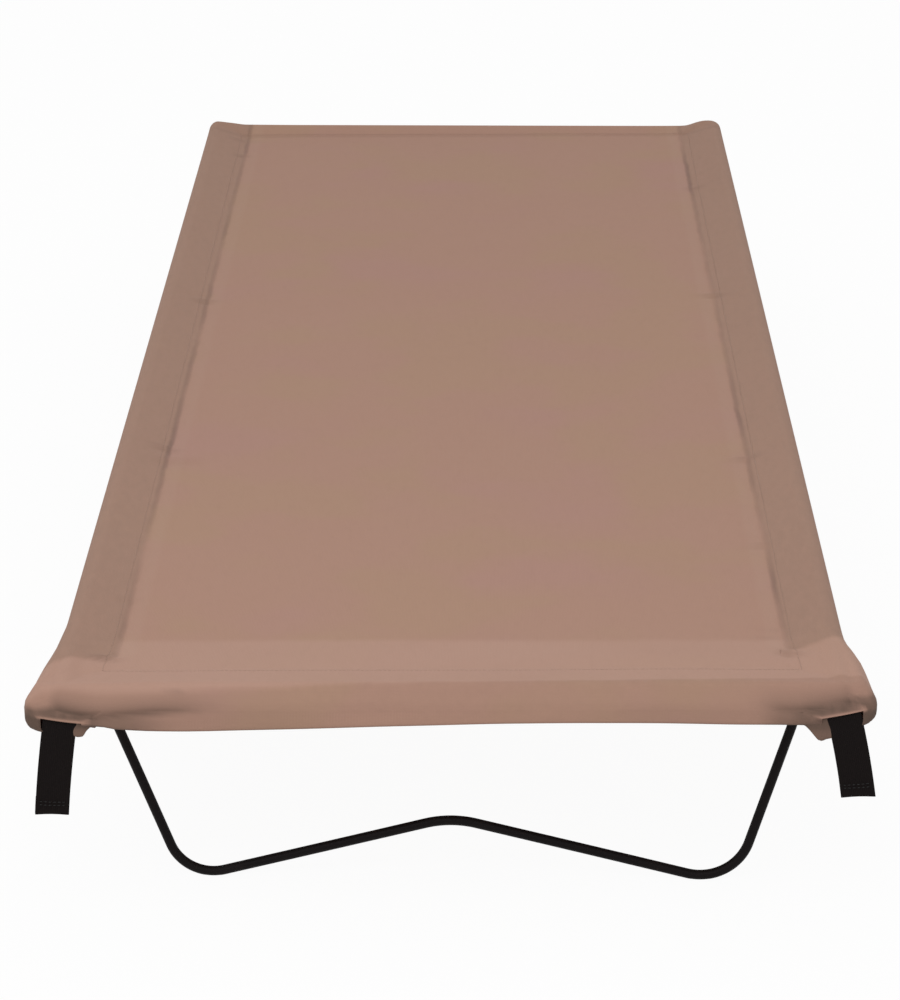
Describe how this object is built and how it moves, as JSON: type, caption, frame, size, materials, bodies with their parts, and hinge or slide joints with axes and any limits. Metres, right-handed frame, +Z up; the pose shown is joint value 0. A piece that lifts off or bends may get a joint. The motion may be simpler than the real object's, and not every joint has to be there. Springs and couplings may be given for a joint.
{
  "type": "camping cot",
  "caption": "Low folding camp bed: a stretched cloth cover with side sleeves over a plug-together tube frame on W-shaped wire legs.",
  "frame": {"origin": "on the floor under the middle of the bed", "axes": "+X across the bed to the right, +Y along the bed from the near end with the pull straps to the far end, +Z up"},
  "size_m": [0.633, 1.8, 0.19],
  "materials": {
    "cover_cloth": "plain-woven coated polyester, matt",
    "strap_webbing": "woven black webbing, matt",
    "leg_wire": "black powder coat, satin",
    "frame_tube": "black powder coat, satin",
    "elbow_plastic": "black moulded nylon",
    "ferrule_steel": "bare drawn tube",
    "rivet": "bare"
  },
  "bodies": {
    "frame": {"cover": "cover_cloth", "rail_left_1": "frame_tube", "rail_left_2": "frame_tube", "rail_left_3": "frame_tube", "rail_left_4": "frame_tube", "rail_right_1": "frame_tube", "rail_right_2": "frame_tube", "rail_right_3": "frame_tube", "rail_right_4": "frame_tube", "end_bar_near": "frame_tube", "end_bar_far": "frame_tube", "corner_elbow_near_left": "elbow_plastic", "corner_elbow_near_right": "elbow_plastic", "corner_elbow_far_left": "elbow_plastic", "corner_elbow_far_right": "elbow_plastic", "ferrule_left_1": "ferrule_steel", "ferrule_left_2": "ferrule_steel", "ferrule_left_3": "ferrule_steel", "ferrule_right_1": "ferrule_steel", "ferrule_right_2": "ferrule_steel", "ferrule_right_3": "ferrule_steel", "rivet_left_1": "rivet", "rivet_left_2": "rivet", "rivet_left_3": "rivet", "rivet_right_1": "rivet", "rivet_right_2": "rivet", "rivet_right_3": "rivet"},
    "leg_1": {"leg_1": "leg_wire"},
    "leg_2": {"leg_2": "leg_wire"},
    "leg_3": {"leg_3": "leg_wire"},
    "leg_4": {"leg_4": "leg_wire"},
    "strap_left": {"pull_strap_left": "strap_webbing"},
    "strap_right": {"pull_strap_right": "strap_webbing"}
  },
  "joints": [
    {"name": "leg_1_fold", "type": "hinge", "parent": "frame", "child": "leg_1", "pos_m": [0, -0.815, 0.1794], "axis": [1, 0, 0], "range_deg": [-60, 75]},
    {"name": "leg_2_fold", "type": "hinge", "parent": "frame", "child": "leg_2", "pos_m": [0, -0.32, 0.1794], "axis": [1, 0, 0], "range_deg": [-75, 75]},
    {"name": "leg_3_fold", "type": "hinge", "parent": "frame", "child": "leg_3", "pos_m": [0, 0.175, 0.1794], "axis": [1, 0, 0], "range_deg": [-75, 75]},
    {"name": "leg_4_fold", "type": "hinge", "parent": "frame", "child": "leg_4", "pos_m": [0, 0.67, 0.1794], "axis": [1, 0, 0], "range_deg": [-75, 75]},
    {"name": "strap_left_swing", "type": "hinge", "parent": "frame", "child": "strap_left", "pos_m": [-0.29, -0.899, 0.165], "axis": [0.9936, 0, -0.1132], "range_deg": [-80, 45]},
    {"name": "strap_right_swing", "type": "hinge", "parent": "frame", "child": "strap_right", "pos_m": [0.29, -0.899, 0.1682], "axis": [0.9833, 0, 0.1822], "range_deg": [-80, 45]}
  ]
}
